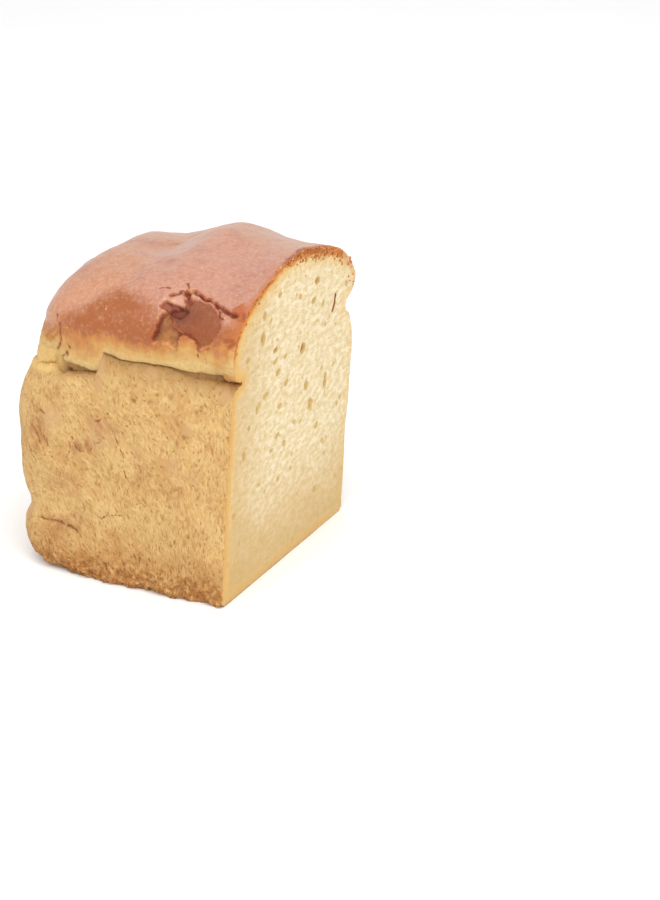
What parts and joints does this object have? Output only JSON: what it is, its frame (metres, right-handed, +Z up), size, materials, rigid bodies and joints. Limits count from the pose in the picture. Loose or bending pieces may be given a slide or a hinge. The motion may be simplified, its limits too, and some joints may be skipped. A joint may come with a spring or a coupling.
{
  "type": "brioche loaf",
  "caption": "Cut end of a tall tin-baked brioche loaf with a domed brown crown, a torn crust, pale tin sides and an open crumb face.",
  "frame": {"origin": "on the surface the loaf stands on, under the middle of its box", "axes": "+X along the tin towards the cut face, +Y across the loaf towards the side away from the torn patch, +Z up"},
  "size_m": [0.107, 0.1088, 0.1342],
  "materials": {
    "crown_crust": "satin",
    "tin_crust": "matt",
    "crumb": "matt"
  },
  "bodies": {
    "root": {"loaf": "tin_crust"}
  },
  "joints": []
}
